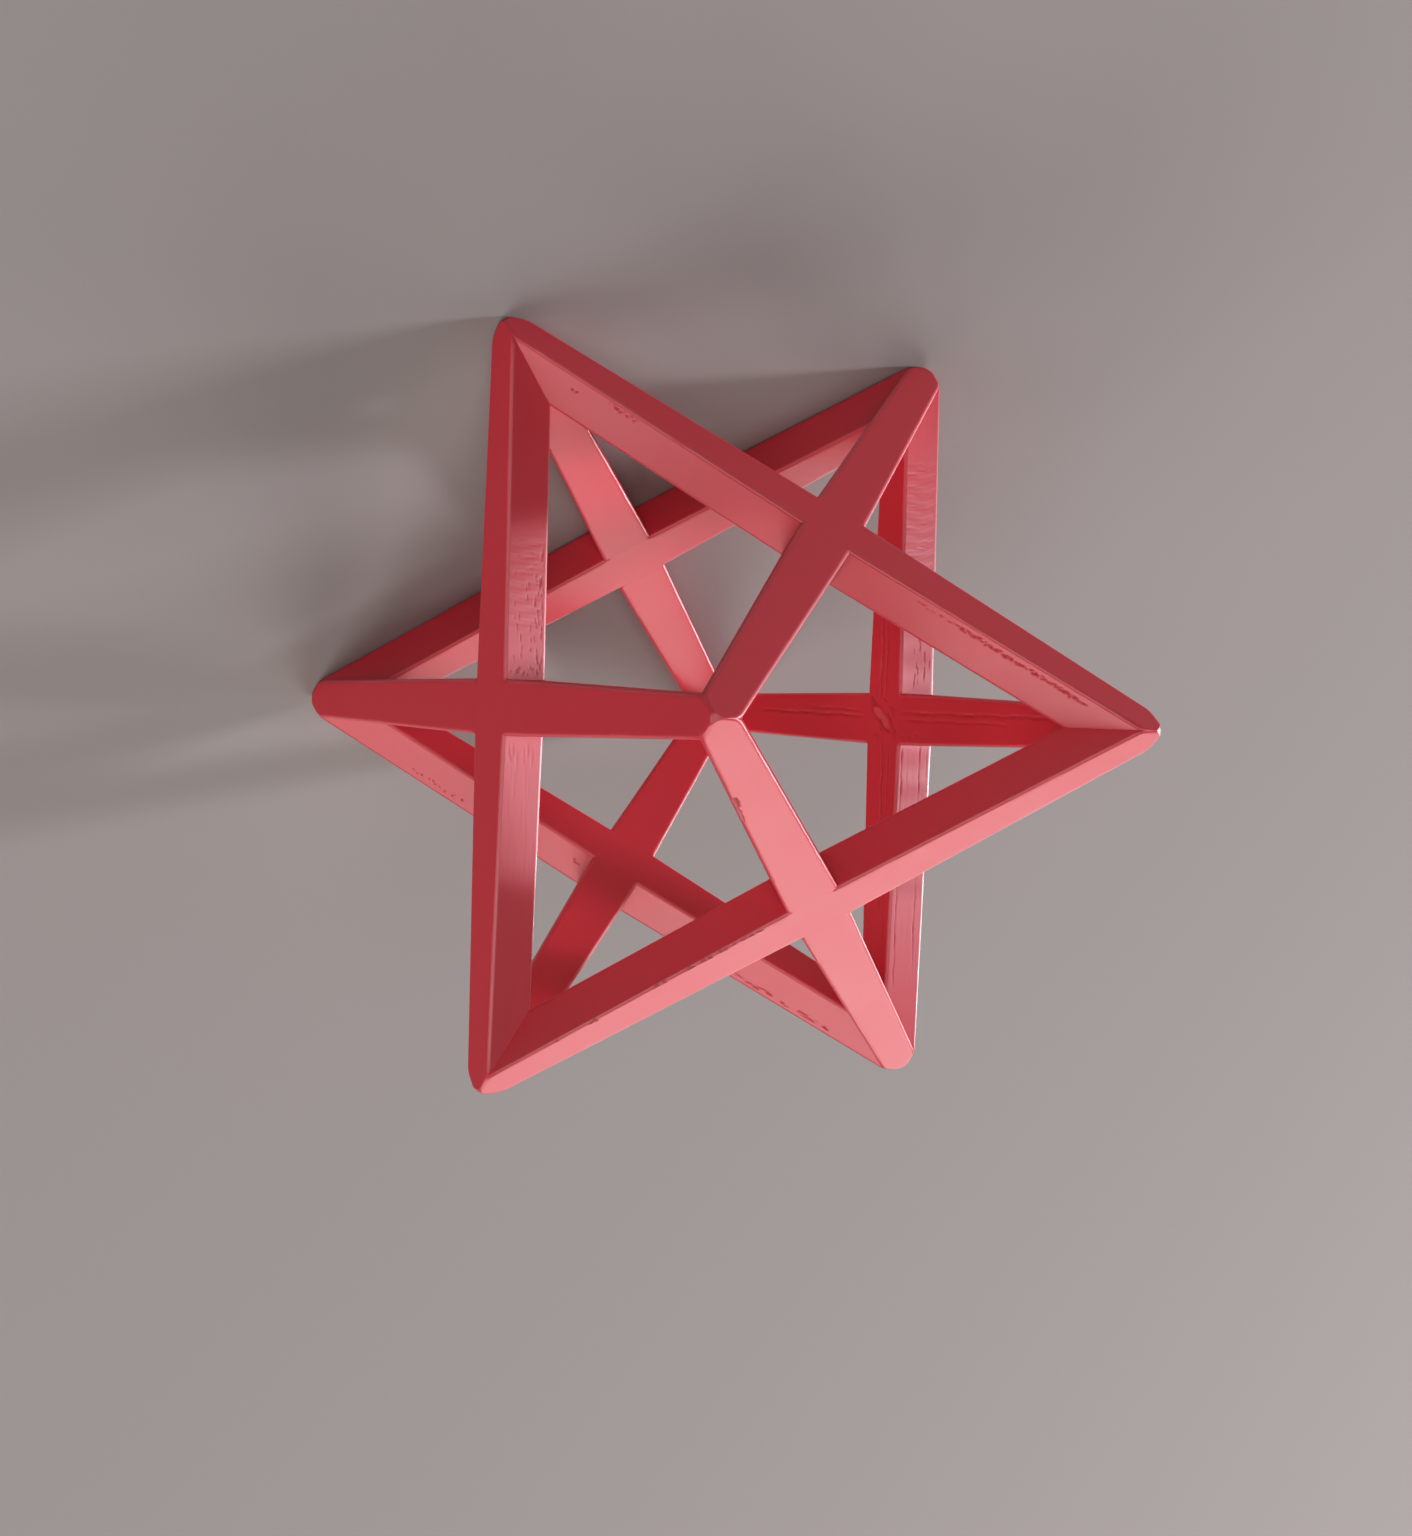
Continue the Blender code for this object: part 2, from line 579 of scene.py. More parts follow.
@dataclass(frozen=True)
class Knot:
    """A slanting lump where two bars' strands cross, standing in its own groove. Millimetres and degrees."""

    GROOVE_PLACE: ClassVar[float] = 1.3
    GROOVE_HALF: ClassVar[float] = 0.4
    GROOVE_FULLNESS: ClassVar[float] = 1.2
    CROWN_STEEPNESS: ClassVar[float] = 2.4
    along: float
    across: float
    halves: Span
    tilt: float
    depth: float = 0.07
    shade: float = 0.45

    def _reach(self, along: np.ndarray, across: np.ndarray) -> np.ndarray:
        """How far each point is from the middle of the lump, with 1 on its outline.

        Args:
            along: Where the points lie along the bar.
            across: Where they lie across the face.

        Returns:
            Shares of the way to the outline.
        """
        run, off = Curves.turned(along - self.along, across - self.across, math.radians(self.tilt))
        ragged = Curves.wave(run, size=0.14, pace=2.6, start=1)
        ragged = ragged + Curves.wave(off, size=0.12, pace=4.3, start=run * 1.7)
        return np.sqrt((run / self.halves[0]) ** 2 + (off / self.halves[1]) ** 2) + ragged

    def crown_highlight(self, along: np.ndarray, across: np.ndarray) -> np.ndarray:
        """How pale the top of the lump is at each point, as a painted highlight.

        Args:
            along: Where the points lie along the bar.
            across: Where they lie across the face.

        Returns:
            Values from 0 to 1.
        """
        return np.clip(self.CROWN_STEEPNESS * (1 - self._reach(along, across)), 0, 1)

    def relief(self, along: np.ndarray, across: np.ndarray) -> np.ndarray:
        """How deep the groove round the lump is at each point.

        Args:
            along: Where the points lie along the bar.
            across: Where they lie across the face.

        Returns:
            Depths in millimetres.
        """
        reach = self._reach(along, across)
        uneven = Curves.wave(along, level=0.65, size=0.35, pace=1.9, start=across * 2.7)
        groove = self.GROOVE_FULLNESS - ((reach - self.GROOVE_PLACE) / self.GROOVE_HALF) ** 2
        return self.depth * uneven * np.clip(groove, 0, 1)


@dataclass(frozen=True)
class MarkedSkin:
    """A stretch of one face of a bar with the marks that the printing left on it. Millimetres."""

    CUTS: ClassVar[int] = 3
    DEEPEST: ClassVar[float] = 0.25
    HIGHLIT_LIP_SHIFT: ClassVar[float] = 0.22
    FADE: ClassVar[float] = 0.3
    FULL_MARK_DEPTH: ClassVar[float] = 0.07
    LEAST_WEIGHT: ClassVar[float] = 0.002
    node: str
    skin: Skin
    along: Span
    across: Span
    marks: tuple[Scores | Furrow | Ripples | Knot, ...]
    squareness: float = 0.99

    def press(self, bar: bpy.types.Object) -> None:
        """Divides the stretch finely and presses its marks in.

        Args:
            bar: The bar, still on the bench.
        """
        outward = Vector(self.skin.value)
        with Bench.editing(bar):
            Bench.pick_faces(
                bar,
                lambda middle, normal: normal.dot(outward) > self.squareness
                and self.along[0] < middle.x * MM_PER_METRE < self.along[1]
                and self.across[0] < self.skin.across(middle) * MM_PER_METRE < self.across[1],
            )
            bpy.ops.mesh.subdivide(number_cuts=self.CUTS)
            bpy.ops.mesh.select_mode(type="VERT")
        points = bar.data.vertices
        chosen = [vert.index for vert in points if vert.select]
        along = MM_PER_METRE * np.array([points[index].co.x for index in chosen])
        across = MM_PER_METRE * np.array([self.skin.across(points[index].co) for index in chosen])
        inset = np.minimum.reduce(
            [along - along.min(), along.max() - along, across - across.min(), across.max() - across]
        )
        fade = np.clip(inset / self.FADE, 0, 1)
        relief = np.zeros_like(along)
        scar_and_shade = np.zeros_like(along)
        pale = np.zeros_like(along)
        for mark in self.marks:
            pressed = mark.relief(along, across)
            relief += pressed
            # Painted shade: each mark's groove is darkened by its depth, along with the scars' own darker
            # tone; a broad faint furrow darkens and dulls a whole stretch.
            scar_and_shade = np.maximum(scar_and_shade, mark.shade * pressed / self.FULL_MARK_DEPTH)
            # Painted highlight: a paler copy of each mark, shifted to one side, lights one lip of its
            # groove; the top of a knot is paled too.
            shifted_lip = mark.relief(along, across - self.HIGHLIT_LIP_SHIFT)
            pale = np.maximum(pale, mark.shade * shifted_lip / self.FULL_MARK_DEPTH)
            if isinstance(mark, Knot):
                pale = np.maximum(pale, mark.crown_highlight(along, across))
        self._displace(bar, chosen, np.clip(relief * fade / self.DEEPEST, 0, 1))
        self._paint(bar, "scar_and_shade", chosen, np.clip(scar_and_shade, 0, 1) * fade)
        self._paint(bar, "pale", chosen, np.clip(pale - scar_and_shade, 0, 1) * fade)

    def _displace(self, bar: bpy.types.Object, chosen: list[int], weights: np.ndarray) -> None:
        """Pushes the chosen points inwards by their weights.

        Args:
            bar: The bar to press.
            chosen: The points' numbers.
            weights: A share of the deepest mark for each point.
        """
        group = bar.vertex_groups.new(name="pressed")
        for index, weight in zip(chosen, weights):
            if weight > self.LEAST_WEIGHT:
                group.add([index], float(weight), "REPLACE")
        press = bar.modifiers.new("Press", "DISPLACE")
        press.direction = "NORMAL"
        press.mid_level = 0.0
        press.strength = -self.DEEPEST / MM_PER_METRE
        press.vertex_group = group.name
        Bench.apply(bar, press)
        bar.vertex_groups.remove(bar.vertex_groups["pressed"])

    def _paint(self, bar: bpy.types.Object, name: str, chosen: list[int], values: np.ndarray) -> None:
        """Keeps a value on the chosen points for the finish to read.

        Args:
            bar: The bar to paint.
            name: The attribute's name.
            chosen: The points' numbers.
            values: A value from 0 to 1 for each point.
        """
        layer = bar.data.attributes.get(name) or bar.data.attributes.new(name, "FLOAT", "POINT")
        for index, value in zip(chosen, values):
            layer.data[index].value = max(layer.data[index].value, float(value))


# Where the printing left marks: on overhanging sides, on the two inner faces over the widest gap, and as
# nicks along two edges on top
PRINT_MARKS: tuple[MarkedSkin, ...] = (
    MarkedSkin(
        "second_tetra_top_bar", Skin.OUTSIDE, (5.4, 34.1), (-3.4, -1.2),
        (
            Scores((32.3, 33.2), (-2.38, -2.28), 1, (0.5, 0.7), width=0.30, depth=0.08, seed=41),
            Scores((27.7, 28.9), (-2.45, -2.28), 2, (0.6, 0.9), width=0.36, depth=0.10, spread=20, seed=42),
            Scores((18.6, 20.4), (-2.68, -2.56), 2, (0.6, 1.0), width=0.34, depth=0.10, spread=8, seed=43),
            Scores((13.2, 16.4), (-2.78, -2.66), 4, (0.5, 1.0), width=0.34, depth=0.10, spread=8, seed=44),
            Scores((6.4, 12.4), (-2.92, -2.80), 7, (0.5, 1.1), width=0.34, depth=0.10, spread=8, seed=45),
        ),
        squareness=0.3,
    ),
    MarkedSkin(
        "first_tetra_top_bar", Skin.OUTSIDE, (22.9, 31.1), (0.9, 3.2),
        (
            Scores(
                (27.4, 29.4), (2.20, 2.32), 2, (1.4, 2.0),
                width=0.55, depth=0.14, tilt=4, spread=3, seed=46,
            ),
            Scores((24.4, 27.6), (2.36, 2.46), 3, (1.2, 2.0), width=0.36, depth=0.10, spread=3, seed=47),
        ),
        squareness=0.3,
    ),
    MarkedSkin(
        "second_tetra_front_bar", Skin.PLUS_SIDE, (-36.6, -11.4), (-2.3, -0.4),
        (
            Scores((-35.0, -18.5), (-1.24, -0.90), 30, (0.5, 1.1), width=0.22, spread=9, seed=3),
            Scores((-18.5, -12.5), (-1.20, -0.95), 9, (0.4, 0.9), width=0.15, depth=0.05, spread=7, seed=7),
            Scores((-34.0, -18.0), (-1.50, -0.95), 30, (0.25, 0.5), width=0.2, tilt=65, spread=25, seed=4),
        ),
    ),
    MarkedSkin(
        "second_tetra_front_bar", Skin.PLUS_SIDE, (23.9, 34.6), (-2.6, -0.4),
        (
            Scores((24.8, 29.0), (-0.95, -0.50), 10, (0.3, 0.7), width=0.25, spread=35, seed=5),
            Scores((32.4, 33.4), (-1.95, -1.60), 2, (0.4, 0.6), spread=30, seed=6),
        ),
    ),
    MarkedSkin(
        "second_tetra_right_bar", Skin.PLUS_SIDE, (-20.6, -3.0), (-5.2, -0.3),
        (
            Ripples((-20.3, -8.0), 1.45, 0.009),
            Scores(
                (-15.0, -5.0), (-4.6, -3.2), 14, (0.5, 1.6),
                width=0.17, depth=0.028, tilt=-5, spread=5, seed=11, shade=2.2,
            ),
            Scores(
                (-15.5, -5.0), (-3.2, -1.0), 12, (0.4, 1.2),
                width=0.16, depth=0.02, tilt=-5, spread=6, seed=12, shade=2.2,
            ),
            Scores(
                (-19.5, -14.0), (-4.7, -1.6), 12, (0.6, 2.0),
                width=0.16, depth=0.012, tilt=90, spread=4, seed=13, shade=2.0,
            ),
            Scores(
                (-4.7, -3.8), (-4.9, -0.7), 14, (0.3, 0.6),
                width=0.16, depth=0.03, tilt=20, spread=25, seed=14, shade=1.8,
            ),
            Scores(
                (-19.0, -4.6), (-5.0, -4.6), 17, (0.5, 1.4),
                width=0.17, depth=0.028, tilt=-3, spread=4, seed=17, shade=2.4,
            ),
        ),
    ),
    MarkedSkin(
        "second_tetra_right_bar", Skin.PLUS_SIDE, (3.4, 22.1), (-5.2, -0.3),
        (
            Scores((4.6, 6.0), (-4.9, -0.6), 16, (1.0, 2.4), width=0.14, depth=0.02, spread=1.5, seed=15),
            Scores((6.5, 19.0), (-4.9, -0.6), 26, (2.0, 6.0), width=0.12, depth=0.010, spread=1.0, seed=16),
        ),
    ),
    MarkedSkin(
        "first_tetra_left_bar", Skin.MINUS_SIDE, (-33.6, -3.0), (-5.2, -0.3),
        (
            Ripples((-33.0, -18.0), 1.6, 0.008, 1.0),
            Furrow((-19.0, -2.0), -2.75, 7.0, 0.001, shade=20.0),
            Scores(
                (-32.0, -19.0), (-4.8, -1.4), 14, (0.6, 2.2),
                width=0.14, depth=0.010, tilt=90, spread=4, seed=21,
            ),
            Scores(
                (-11.5, -4.4), (-3.6, -0.8), 16, (0.8, 2.4),
                width=0.17, depth=0.025, tilt=3, spread=4, seed=22, shade=2.4,
            ),
        ),
    ),
    MarkedSkin(
        "first_tetra_left_bar", Skin.MINUS_SIDE, (2.6, 36.1), (-5.2, -0.3),
        (
            Furrow((2.0, 23.0), -2.75, 7.0, 0.001, shade=20.0),
            Furrow((3.4, 12.6), -4.75, 0.28, 0.04, shade=1.5),
            Furrow((3.0, 12.0), -1.90, 0.26, 0.035, shade=1.5),
            Furrow((18.0, 31.5), -1.52, 0.24, 0.04, 0.014, shade=1.2),
            Furrow((20.0, 34.5), -4.45, 0.26, 0.04, 0.02, shade=1.2),
            Furrow((3.0, 9.5), -0.75, 0.24, 0.03, shade=1.2),
            Furrow((3.4, 12.0), -3.90, 0.22, 0.02, shade=1.0),
            Scores((4.0, 34.0), (-4.8, -0.8), 24, (2.0, 7.0), width=0.13, depth=0.010, spread=1.0, seed=23),
        ),
    ),
    MarkedSkin(
        "first_tetra_left_bar", Skin.INSIDE, (-20.1, 30.1), (-2.6, 2.6),
        (
            Furrow((-19.0, -2.2), 0.55, 0.45, 0.09, shade=0.42),
            Furrow((-15.0, -2.2), -0.45, 0.40, 0.07, shade=0.42),
            Furrow((2.2, 24.0), -0.30, 0.45, 0.09, -0.02, shade=0.42),
            Furrow((2.6, 29.0), -1.40, 0.35, 0.06, -0.01, shade=0.42),
            Knot(-0.3, 0.3, (2.4, 0.62), -52, depth=0.09),
            Scores(
                (-2.6, 2.6), (-2.0, 2.0), 8, (0.8, 1.8),
                width=0.3, depth=0.05, tilt=-52, spread=12, seed=24,
            ),
        ),
    ),
    MarkedSkin(
        "second_tetra_left_bar", Skin.INSIDE, (-38.1, -3.4), (-2.6, 2.6),
        (
            Furrow((-37.0, -3.4), 0.85, 0.42, 0.08, -0.004, shade=0.42),
            Furrow((-24.0, -3.4), -0.10, 0.34, 0.05, shade=0.42),
            Scores((-9.0, -4.0), (-2.3, -1.7), 7, (0.3, 0.9), depth=0.05, spread=40, seed=26),
        ),
    ),
    MarkedSkin(
        "second_tetra_left_bar", Skin.INSIDE, (3.4, 30.1), (-2.6, 2.6),
        (
            Furrow((3.4, 26.0), 0.35, 0.42, 0.08, 0.012, shade=0.42),
            Furrow((3.8, 15.0), 1.05, 0.35, 0.05, 0.03, shade=0.42),
        ),
    ),
    MarkedSkin(
        "first_tetra_back_bar", Skin.MINUS_SIDE, (19.9, 29.1), (-2.3, -0.4),
        (Scores((20.4, 28.6), (-1.50, -1.10), 12, (0.25, 0.40), width=0.28, spread=40, seed=31),),
    ),
    MarkedSkin(
        "first_tetra_back_bar", Skin.MINUS_SIDE, (-34.6, -18.4), (-2.3, -0.4),
        (
            Scores((-33.2, -19.8), (-1.25, -0.80), 11, (0.7, 2.2), width=0.22, spread=5, seed=32),
            Scores((-33.2, -29.0), (-1.60, -0.80), 5, (0.2, 0.5), spread=40, seed=33),
        ),
    ),
    MarkedSkin(
        "first_tetra_back_bar", Skin.MINUS_SIDE, (3.9, 6.1), (-4.1, -2.0),
        (Scores((4.4, 5.2), (-3.35, -2.90), 3, (0.3, 0.5), width=0.28, spread=40, seed=34),),
    ),
)


@dataclass
class NodeSheet:
    """A node tree that is being laid out."""

    tree: bpy.types.NodeTree

    def feed(self, node: bpy.types.Node, inputs: dict[str | int, object]) -> None:
        """Sets a node's sockets, or links them.

        Args:
            node: The node to feed.
            inputs: A value or another node's output for each named or numbered socket.
        """
        for socket, value in inputs.items():
            if isinstance(value, bpy.types.NodeSocket):
                self.tree.links.new(value, node.inputs[socket])
            else:
                node.inputs[socket].default_value = value

    def node(
        self, kind: str, inputs: dict[str | int, object] | None = None, **settings: object
    ) -> bpy.types.Node:
        """Adds a node, with its settings and what goes into it.

        Args:
            kind: The node's type.
            inputs: A value or another node's output for each named or numbered socket.
            settings: The node's own properties.

        Returns:
            The new node.
        """
        node = self.tree.nodes.new(kind)
        for name, value in settings.items():
            setattr(node, name, value)
        self.feed(node, inputs or {})
        return node

    def maths(self, operation: str, *values: object) -> bpy.types.NodeSocket:
        """Adds one arithmetic step and gives its result."""
        return self.node("ShaderNodeMath", dict(enumerate(values)), operation=operation).outputs[0]

    def noise(self, vector: bpy.types.NodeSocket, scale: float, detail: float = 2.0) -> bpy.types.NodeSocket:
        """Adds a soft noise from 0 to 1 and gives its value."""
        node = self.node("ShaderNodeTexNoise", {"Vector": vector, "Scale": scale, "Detail": detail})
        return node.outputs["Fac"]

    def cross(self, first: object, second: object) -> bpy.types.NodeSocket:
        """Adds the cross product of two directions."""
        inputs = {0: first, 1: second}
        return self.node("ShaderNodeVectorMath", inputs, operation="CROSS_PRODUCT").outputs[0]

    def kept(self, name: str) -> bpy.types.NodeSocket:
        """Reads a value that is kept on the mesh."""
        return self.node("ShaderNodeAttribute", attribute_name=name).outputs["Fac"]

    def blend(self, *weighted: tuple[bpy.types.NodeSocket, float]) -> bpy.types.NodeSocket:
        """Adds up two values by their weights and gives the sum."""
        return self.maths("ADD", *(self.maths("MULTIPLY", value, weight) for value, weight in weighted))

    def tint(self, share: bpy.types.NodeSocket, under: object, over: Colour) -> bpy.types.NodeSocket:
        """Adds a mix of two colours, which are a mix node's inputs 6 and 7, and gives its output 2."""
        inputs = {0: share, 6: under, 7: (*over, 1.0)}
        return self.node("ShaderNodeMix", inputs, data_type="RGBA").outputs[2]


class Effects:
    """The surface effects that the finishes share, each built once as a node group."""

    NOISE_MIDDLE = 0.5
    STREAK_PACE = 70.0
    STREAK_SCALE = 0.7
    STREAK_SHARE = 2.4
    LINE_SHARE = 0.5
    WOBBLE_SCALE = 140.0
    WOBBLE = 1.5
    GRAIN_SCALE = 5200.0
    CLOUD_SCALE = 110.0
    CLOUD_SHARE = 0.55
    SPECK_SCALE = 900.0
    SPECK_SHARE = 0.45

    @staticmethod
    def group(
        name: str, inputs: list[tuple[str, str]], outputs: list[str]
    ) -> tuple[bpy.types.NodeTree, NodeSheet]:
        """Starts a node group.

        Args:
            name: The group's name.
            inputs: Each input's name and kind of socket.
            outputs: The names of its values.

        Returns:
            The group and a sheet to lay it out on.
        """
        tree = bpy.data.node_groups.new(name, "ShaderNodeTree")
        for title, kind in inputs:
            tree.interface.new_socket(title, in_out="INPUT", socket_type=kind)
        for title in outputs:
            tree.interface.new_socket(title, in_out="OUTPUT", socket_type="NodeSocketFloat")
        return tree, NodeSheet(tree)

    @staticmethod
    def layer_lines() -> bpy.types.NodeTree:
        """The fine lines that the printed layers leave, across X.

        Returns:
            A group that gives the lines' height in metres and an uneven streak from 0 to 1 along them.
        """
        tree, sheet = Effects.group(
            "layer_lines",
            [
                ("Vector", "NodeSocketVector"),
                ("Layer Height", "NodeSocketFloat"),
                ("Relief", "NodeSocketFloat"),
            ],
            ["Height", "Streak"],
        )
        given = sheet.node("NodeGroupInput").outputs
        parts = sheet.node("ShaderNodeSeparateXYZ", {0: given["Vector"]}).outputs
        layer = sheet.maths("DIVIDE", parts["X"], given["Layer Height"])
        stretched = [sheet.maths("MULTIPLY", parts[axis], Effects.STREAK_PACE) for axis in "YZ"]
        along = sheet.node("ShaderNodeCombineXYZ", dict(enumerate((layer, *stretched))))
        streak = sheet.noise(along.outputs[0], Effects.STREAK_SCALE, detail=3.0)
        wobble = sheet.maths("MULTIPLY", sheet.noise(given["Vector"], Effects.WOBBLE_SCALE), Effects.WOBBLE)
        wave = sheet.maths("SINE", sheet.maths("MULTIPLY", sheet.maths("ADD", layer, wobble), math.tau))
        uneven = sheet.maths("SUBTRACT", streak, Effects.NOISE_MIDDLE)
        lines = sheet.blend((wave, Effects.LINE_SHARE), (uneven, Effects.STREAK_SHARE))
        height = sheet.maths("MULTIPLY", lines, given["Relief"])
        sheet.node("NodeGroupOutput", {"Height": height, "Streak": streak})
        return tree

    @staticmethod
    def satin_grain() -> bpy.types.NodeTree:
        """The fine grain and the faint clouding of a satin plastic.

        Returns:
            A group that gives the grain's height in metres and a soft mottle from 0 to 1.
        """
        tree, sheet = Effects.group(
            "satin_grain",
            [("Vector", "NodeSocketVector"), ("Relief", "NodeSocketFloat")],
            ["Height", "Mottle"],
        )
        given = sheet.node("NodeGroupInput").outputs
        grain = sheet.noise(given["Vector"], Effects.GRAIN_SCALE)
        fine = sheet.maths("SUBTRACT", grain, Effects.NOISE_MIDDLE)
        clouds = sheet.noise(given["Vector"], Effects.CLOUD_SCALE, detail=3.0)
        specks = sheet.noise(given["Vector"], Effects.SPECK_SCALE)
        mottle = sheet.blend((clouds, Effects.CLOUD_SHARE), (specks, Effects.SPECK_SHARE))
        height = sheet.maths("MULTIPLY", fine, given["Relief"])
        sheet.node("NodeGroupOutput", {"Height": height, "Mottle": mottle})
        return tree


@dataclass(frozen=True)
class CoralPlastic:
    """Satin coral plastic laid down in fine layers, which are stacked along X."""

    name: str
    colour: Colour = (0.77, 0.034, 0.058)
    deep_colour: Colour = (0.65, 0.025, 0.043)
    mottle_share: float = 0.7
    streak_share: float = 0.3
    # Marks are darkened towards a deep red: the scars' own darker tone together with painted shade in their
    # grooves.
    scar_and_shade_colour: Colour = (0.20, 0.006, 0.010)
    scar_and_shade_share: float = 0.60
    scar_roughness: float = 0.45
    # Painted highlight: one lip of each mark and the top of a knot are paled towards a light pink.
    lip_highlight_colour: Colour = (0.80, 0.16, 0.17)
    lip_highlight_share: float = 0.45
    # The rounded edges are paled towards a light pink: a little on every rim as wear, and strongly on rims
    # that face -X, towards the side lights, as a painted highlight.
    rim_wear_and_highlight_colour: Colour = (0.95, 0.30, 0.33)
    rim_wear_and_highlight_share: float = 0.5
    rim_gloss: float = 0.12
    rim_wear: float = 0.35
    rim_highlight_to_left: float = 2.5
    layer_height: float = 0.0002
    layer_relief: float = 0.0000013
    # A touch off X, so that no face is square to it
    layer_axis: tuple[float, float, float] = (1.0, 0.001, 0.0007)
    grain_relief: float = 0.0000015
    tone_range: Span = (0.3, 0.7)
    roughness: Span = (0.41, 0.49)
    sheen_across_layers: float = 0.80
    specular: float = 1.0

    def material(self, effects: dict[str, bpy.types.NodeTree]) -> bpy.types.Material:
        """Builds the material.

        Args:
            effects: The shared node groups by name.

        Returns:
            A material that reads Object coordinates.
        """
        material = bpy.data.materials.new(self.name)
        material.use_nodes = True
        sheet = NodeSheet(material.node_tree)
        place = sheet.node("ShaderNodeTexCoord").outputs["Object"]
        lines = sheet.node(
            "ShaderNodeGroup",
            {"Vector": place, "Layer Height": self.layer_height, "Relief": self.layer_relief},
            node_tree=effects["layer_lines"],
        ).outputs
        grain = sheet.node(
            "ShaderNodeGroup",
            {"Vector": place, "Relief": self.grain_relief},
            node_tree=effects["satin_grain"],
        ).outputs
        tone = sheet.blend((grain["Mottle"], self.mottle_share), (lines["Streak"], self.streak_share))
        colour = sheet.tint(tone, (*self.deep_colour, 1.0), self.colour)
        scar_and_shade, pale, rim = sheet.kept("scar_and_shade"), sheet.kept("pale"), sheet.kept("rim")
        # Painted highlight on one lip of each mark and on the top of a knot.
        colour = sheet.tint(sheet.maths("MULTIPLY", pale, self.lip_highlight_share), colour, self.lip_highlight_colour)
        # Painted shade in the marks' grooves, along with the scars' own darker tone.
        colour = sheet.tint(sheet.maths("MULTIPLY", scar_and_shade, self.scar_and_shade_share), colour, self.scar_and_shade_colour)
        normal = sheet.node("ShaderNodeNewGeometry").outputs["Normal"]
        looks = sheet.node("ShaderNodeSeparateXYZ", {0: normal}).outputs
        # Painted highlight: rims that look towards -X, where the side lights hang, are paled more than the
        # even wear on the other rims.
        painted_highlight_to_left = sheet.maths("MULTIPLY", looks["X"], -self.rim_highlight_to_left)
        wear_and_highlight_level = sheet.maths("MAXIMUM", painted_highlight_to_left, sheet.maths("MULTIPLY", rim, self.rim_wear))
        rim_wear_and_highlight = sheet.node("ShaderNodeClamp", {0: sheet.maths("MULTIPLY", rim, wear_and_highlight_level)}).outputs[0]
        colour = sheet.tint(sheet.maths("MULTIPLY", rim_wear_and_highlight, self.rim_wear_and_highlight_share), colour, self.rim_wear_and_highlight_colour)
        rough = sheet.node(
            "ShaderNodeMapRange",
            {
                "Value": tone,
                "From Min": self.tone_range[0],
                "From Max": self.tone_range[1],
                "To Min": self.roughness[0],
                "To Max": self.roughness[1],
            },
        )
        torn = sheet.maths("ADD", rough.outputs[0], sheet.maths("MULTIPLY", scar_and_shade, self.scar_roughness))
        gloss = sheet.maths("SUBTRACT", torn, sheet.maths("MULTIPLY", rim_wear_and_highlight, self.rim_gloss))
        height = sheet.maths("ADD", lines["Height"], grain["Height"])
        bump = sheet.node("ShaderNodeBump", {"Height": height, "Strength": 1.0, "Distance": 1.0})
        level = sheet.cross(normal, self.layer_axis)
        sheet.feed(
            sheet.tree.nodes["Principled BSDF"],
            {
                "Base Color": colour,
                "Roughness": gloss,
                "Specular IOR Level": self.specular,
                "Anisotropic": self.sheen_across_layers,
                "Tangent": sheet.cross(level, normal),
                "Normal": bump.outputs[0],
            },
        )
        return material


@dataclass
class Bar:
    """One bar of the star, on one face of the cube."""

    SMOOTH_BELOW: ClassVar[float] = math.radians(40)
    FLAT_FACE_WEIGHT: ClassVar[int] = 100
    COVER_SLOPE: ClassVar[float] = 0.9
    tetra: Tetra
    face: Face
    sizes: BarSizes = field(default_factory=BarSizes)

    @property
    def node(self) -> str:
        """The name of the CAD node that the bar stands for."""
        return f"{self.tetra.name.lower()}_tetra_{self.face.name.lower()}_bar"

    def build(self, form: bpy.types.Object) -> bpy.types.Object:
        """Copies the common form and lays it on its face.

        Args:
            form: The form of this tetrahedron's bars.

        Returns:
            The bar, with its place in its mesh.
        """
        bar = form.copy()
        bar.data = form.data.copy()
        bar.name = bar.data.name = f"{self.node}_printed"
        bpy.context.scene.collection.objects.link(bar)
        for marked in PRINT_MARKS:
            if marked.node == self.node:
                marked.press(bar)
        Bench.take_up(bar)
        bar.matrix_world = self._place()
        bpy.ops.object.transform_apply(location=True, rotation=True, scale=True)
        bpy.ops.object.shade_smooth_by_angle(angle=self.SMOOTH_BELOW)
        even = bar.modifiers.new("Flat faces", "WEIGHTED_NORMAL")
        even.weight = self.FLAT_FACE_WEIGHT
        even.keep_sharp = True
        Bench.apply(bar, even)
        return bar

    def dress(self, bar: bpy.types.Object, wall: bpy.types.Material, cover: bpy.types.Material) -> None:
        """Gives the bar its finishes and ties it to the frame.

        Args:
            bar: The built bar.
            wall: The finish of the faces that show the edges of the layers.
            cover: The finish of the faces that are one layer's own surface.
        """
        bar.data.materials.clear()
        for finish in (wall, cover):
            bar.data.materials.append(finish)
        for polygon in bar.data.polygons:
            polygon.material_index = 1 if abs(polygon.normal.x) > self.COVER_SLOPE else 0
        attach(bar, "root")
        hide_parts(self.node)

    def _place(self) -> Matrix:
        """Works out where the bar lies.

        Returns:
            The turn and shift from the form's own place.
        """
        outward = self.face.outward
        corners = [Vector(corner) for corner in product((-1, 1), repeat=3)]
        ends = [c for c in corners if c.dot(outward) > 0 and c.x * c.y * c.z * self.tetra.value > 0]
        along = (ends[1] - ends[0]).normalized()
        turn = Matrix((along, outward.cross(along), outward)).transposed().to_4x4()
        centre = Vector((0, 0, self.sizes.cube_edge / 2)) + outward * self.sizes.cube_edge / 2
        return Matrix.Translation(centre) @ turn


